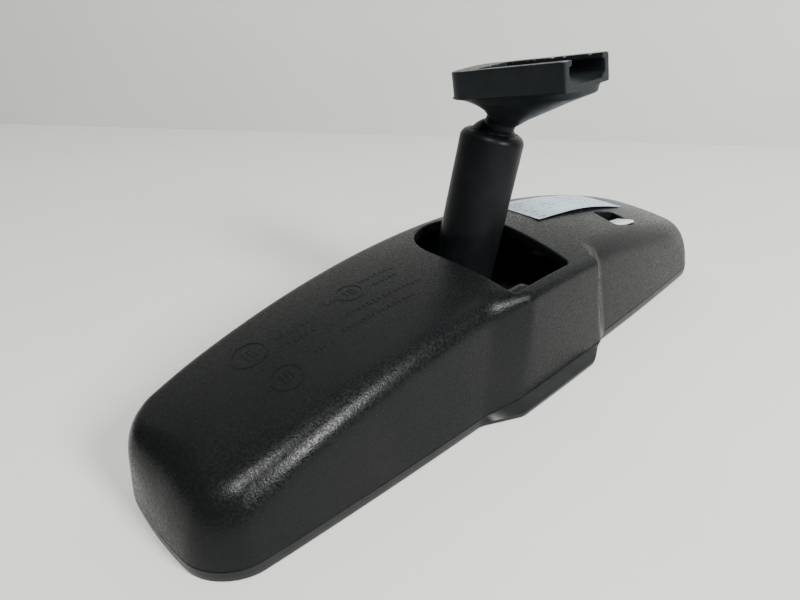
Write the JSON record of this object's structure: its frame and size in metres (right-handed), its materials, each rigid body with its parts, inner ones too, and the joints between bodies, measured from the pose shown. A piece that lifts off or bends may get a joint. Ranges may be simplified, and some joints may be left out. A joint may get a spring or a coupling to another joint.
{
  "type": "interior rearview mirror",
  "caption": "Self-dimming interior rearview mirror lying glass down, its double-ball arm and slide-on windscreen foot standing out of the housing's back.",
  "frame": {"origin": "middle of the bounding box's underside, on the plane of the bezel's front rim", "axes": "+X along the head, -Y towards its chin, +Z out of its back towards the windscreen foot"},
  "size_m": [0.25, 0.0698, 0.1026],
  "materials": {
    "bezel_plastic": "fine satin moulded edge",
    "housing_plastic": "grained moulded matte with a faint sparkle",
    "mirror_glass": "polished lite with a bright coating behind it",
    "dimming_gel": "clear gel, faintly green",
    "cell_sealant": "cured sealant",
    "spring_steel": "bright spring strip",
    "foam": "closed-cell foam tape",
    "carrier_plastic": "plain moulded",
    "board_laminate": "green solder mask",
    "connector_nylon": "moulded nylon",
    "contact_gold": "gold flash",
    "bright_strip": "bright plated strip",
    "chip_plastic": "moulded package",
    "can_aluminium": "drawn can",
    "zinc_casting": "zinc die casting, dull brown-grey",
    "sensor_lens": "milky clear moulding",
    "led_resin": "green tinted resin",
    "button_plastic": "satin moulded key",
    "label_paper": "uncoated paper, slightly blue, worn",
    "satin_black": "satin black powder coat",
    "satin_black_stud": "satin black",
    "satin_black_foot": "satin black, rubbed on the lips",
    "acetal": "natural acetal",
    "screw_steel": "zinc plated"
  },
  "bodies": {
    "foot": {"windscreen_foot": "satin_black_foot", "upper_ball_stud": "satin_black_stud", "retaining_clip": "spring_steel"},
    "upper_liner": {"upper_ball_liner": "acetal"},
    "upper_seat": {"upper_ball_seat": "acetal"},
    "arm": {"arm_tube": "satin_black", "tension_spring": "spring_steel"},
    "lower_seat": {"lower_ball_seat": "acetal"},
    "lower_liner": {"lower_ball_liner": "acetal"},
    "head": {"bezel": "bezel_plastic", "rear_housing": "housing_plastic", "front_glass": "mirror_glass", "dimming_gel": "dimming_gel", "cell_seal": "cell_sealant", "rear_glass": "mirror_glass", "bus_clip_chin": "spring_steel", "bus_clip_crest": "spring_steel", "foam_pad": "foam", "carrier_plate": "carrier_plastic", "circuit_board": "board_laminate", "main_connector": "connector_nylon", "connector_pin_1": "contact_gold", "connector_pin_2": "contact_gold", "connector_pin_3": "contact_gold", "connector_pin_4": "contact_gold", "connector_pin_5": "contact_gold", "connector_pin_6": "contact_gold", "connector_pin_7": "contact_gold", "connector_pin_8": "contact_gold", "connector_pin_9": "contact_gold", "connector_pin_10": "contact_gold", "earth_strip": "bright_strip", "driver_chip": "chip_plastic", "filter_capacitor": "can_aluminium", "ball_plate": "zinc_casting", "plate_screw_1": "screw_steel", "plate_screw_2": "screw_steel", "plate_screw_3": "screw_steel", "plate_screw_4": "screw_steel", "board_screw_1": "screw_steel", "board_screw_2": "screw_steel", "rear_light_sensor": "chip_plastic", "rear_sensor_lens": "sensor_lens", "glare_sensor": "chip_plastic", "glare_sensor_lens": "sensor_lens", "status_led": "led_resin", "status_led_lens": "sensor_lens", "button_switch": "chip_plastic", "paper_label": "label_paper", "lower_ball_stud": "zinc_casting"},
    "button": {"dimming_button": "button_plastic"}
  },
  "joints": [
    {"name": "upper_ball_pitch", "type": "hinge", "parent": "foot", "child": "upper_liner", "pos_m": [0.00961, 0.00836, 0.07252], "axis": [1, 0, 0], "range_deg": [-3, 24]},
    {"name": "upper_ball_yaw", "type": "hinge", "parent": "upper_liner", "child": "upper_seat", "pos_m": [0.00961, 0.00836, 0.07252], "axis": [0, 1, 0], "range_deg": [-20, 4]},
    {"name": "upper_ball_spin", "type": "hinge", "parent": "upper_seat", "child": "arm", "pos_m": [0.00961, 0.00836, 0.07252], "axis": [0.1767, -0.0669, 0.982], "range_deg": [-90, 90]},
    {"name": "lower_ball_spin", "type": "hinge", "parent": "arm", "child": "lower_seat", "pos_m": [0, 0.012, 0.0191], "axis": [0.1767, -0.0669, 0.982], "range_deg": [-30, 30]},
    {"name": "lower_ball_yaw", "type": "hinge", "parent": "lower_seat", "child": "lower_liner", "pos_m": [0, 0.012, 0.0191], "axis": [0, 1, 0], "range_deg": [-4, 21]},
    {"name": "lower_ball_pitch", "type": "hinge", "parent": "lower_liner", "child": "head", "pos_m": [0, 0.012, 0.0191], "axis": [1, 0, 0], "range_deg": [-16, 6]},
    {"name": "button_press", "type": "slide", "parent": "head", "child": "button", "axis": [0, 0, 1], "range_m": [0, 0.0006], "stiffness_N_per_m": 1500, "springref_m": -0.0003}
  ]
}
